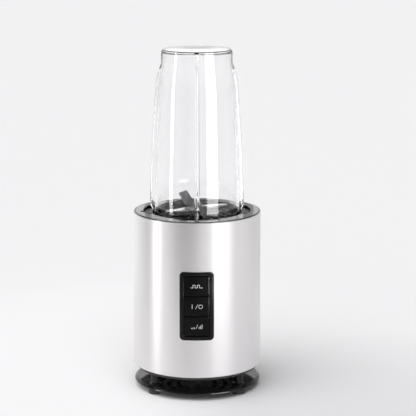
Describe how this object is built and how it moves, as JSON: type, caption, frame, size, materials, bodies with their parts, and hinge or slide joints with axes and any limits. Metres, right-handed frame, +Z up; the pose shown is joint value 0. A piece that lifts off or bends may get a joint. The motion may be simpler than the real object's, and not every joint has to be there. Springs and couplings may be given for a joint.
{
  "type": "countertop blender",
  "caption": "Personal blender: round motor base with a three-key panel, twist-in blade holder with crossed blades, and an inverted clear ribbed cup screwed into it.",
  "frame": {"origin": "middle of the footprint, on the surface the feet stand on", "axes": "+Z up along the motor axis; the control panel faces -Y; +X is to the right of someone facing the panel"},
  "size_m": [0.121, 0.1236, 0.322],
  "materials": {
    "foot_rubber": "matt black rubber",
    "gloss_black": "polished black ABS",
    "satin_black": "satin black moulding",
    "moulded_black": "fine-textured black moulding",
    "key_black": "polished black key with pale printed icon",
    "satin_silver": "satin silver, soft sheen",
    "zinc_steel": "zinc-plated",
    "bright_steel": "ground",
    "spring_steel": "oiled",
    "blade_steel": "brushed stainless with ground edges",
    "lamination_steel": "stacked laminations",
    "cast_aluminium": "as cast",
    "copper_enamel": "enamelled copper",
    "brass": "machined",
    "carbon": "pressed graphite",
    "circuit_green": "solder mask",
    "white_nylon": "natural nylon",
    "seal_silicone": "translucent silicone",
    "clear_tritan": "clear, polished"
  },
  "bodies": {
    "root": {"air_baffle": "moulded_black", "base_plate": "gloss_black", "base_posts": "gloss_black", "base_screws": "zinc_steel", "board_screws": "zinc_steel", "bottom_cover": "satin_black", "bracket_bolts": "zinc_steel", "brush_holders": "brass", "brush_springs": "spring_steel", "carbon_brushes": "carbon", "collar_ring": "gloss_black", "collar_screws": "zinc_steel", "control_bezel": "gloss_black", "control_board": "circuit_green", "cord_grommet": "foot_rubber", "damper_screws": "zinc_steel", "field_coils": "copper_enamel", "housing_sleeve": "satin_silver", "inner_chassis": "moulded_black", "interlock_spring": "spring_steel", "lower_bearing": "bright_steel", "lower_bracket": "moulded_black", "microswitch": "moulded_black", "motor_dampers": "foot_rubber", "rubber_feet": "foot_rubber", "stator_core": "lamination_steel", "tact_switches": "moulded_black", "upper_bearing": "bright_steel", "upper_bracket": "cast_aluminium", "well_seal": "foot_rubber"},
    "rotor": {"motor_shaft": "bright_steel", "armature_core": "lamination_steel", "armature_windings": "copper_enamel", "commutator": "copper_enamel", "cooling_fan": "white_nylon", "drive_coupling": "moulded_black"},
    "pulse_key": {"pulse_button": "key_black"},
    "power_key": {"power_button": "key_black"},
    "speed_key": {"speed_button": "key_black"},
    "interlock": {"interlock_plunger": "white_nylon"},
    "bush": {"bearing_bush": "bright_steel", "bush_circlip": "spring_steel"},
    "holder": {"blade_holder": "satin_black"},
    "blades": {"blade_shaft": "bright_steel", "lower_blade": "blade_steel", "upper_blade": "blade_steel", "blade_nut": "blade_steel", "blade_spacer": "bright_steel", "shaft_seal": "foot_rubber", "thrust_washer": "bright_steel", "driven_coupling": "moulded_black"},
    "gasket": {"cup_gasket": "seal_silicone"},
    "cup": {"cup": "clear_tritan"}
  },
  "joints": [
    {"name": "motor_spin", "type": "hinge", "parent": "root", "child": "rotor", "pos_m": [0, 0, 0.15], "axis": [0, 0, 1], "continuous": true},
    {"name": "pulse_press", "type": "slide", "parent": "root", "child": "pulse_key", "axis": [0, 1, 0], "range_m": [0, 0.0008], "stiffness_N_per_m": 600},
    {"name": "power_press", "type": "slide", "parent": "root", "child": "power_key", "axis": [0, 1, 0], "range_m": [0, 0.0008], "stiffness_N_per_m": 600},
    {"name": "speed_press", "type": "slide", "parent": "root", "child": "speed_key", "axis": [0, 1, 0], "range_m": [0, 0.0008], "stiffness_N_per_m": 600},
    {"name": "jar_lift", "type": "slide", "parent": "root", "child": "bush", "axis": [0, 0, 1], "range_m": [0, 0.06]},
    {"name": "jar_twist", "type": "hinge", "parent": "bush", "child": "holder", "pos_m": [0, 0, 0.15], "axis": [0, 0, 1], "range_deg": [-30, 0]},
    {"name": "blade_spin", "type": "hinge", "parent": "bush", "child": "blades", "pos_m": [0, 0, 0.15], "axis": [0, 0, 1], "continuous": true},
    {"name": "cup_rise", "type": "slide", "parent": "holder", "child": "gasket", "axis": [0, 0, 1], "range_m": [0, 0.0178]},
    {"name": "cup_unscrew", "type": "hinge", "parent": "gasket", "child": "cup", "pos_m": [0, 0, 0.15], "axis": [0, 0, 1], "range_deg": [0, 500]},
    {"name": "interlock_press", "type": "slide", "parent": "root", "child": "interlock", "axis": [0, 0, 1], "range_m": [-0.0026, 0], "deforming": ["interlock_spring"]}
  ],
  "couplings": [
    {"joint": "blade_spin", "follows": "motor_spin", "ratio": 1},
    {"joint": "cup_rise", "follows": "cup_unscrew", "m_per_rad": 0.0020372},
    {"joint": "interlock_press", "follows": "jar_twist", "m_per_rad": 0.0047746}
  ]
}
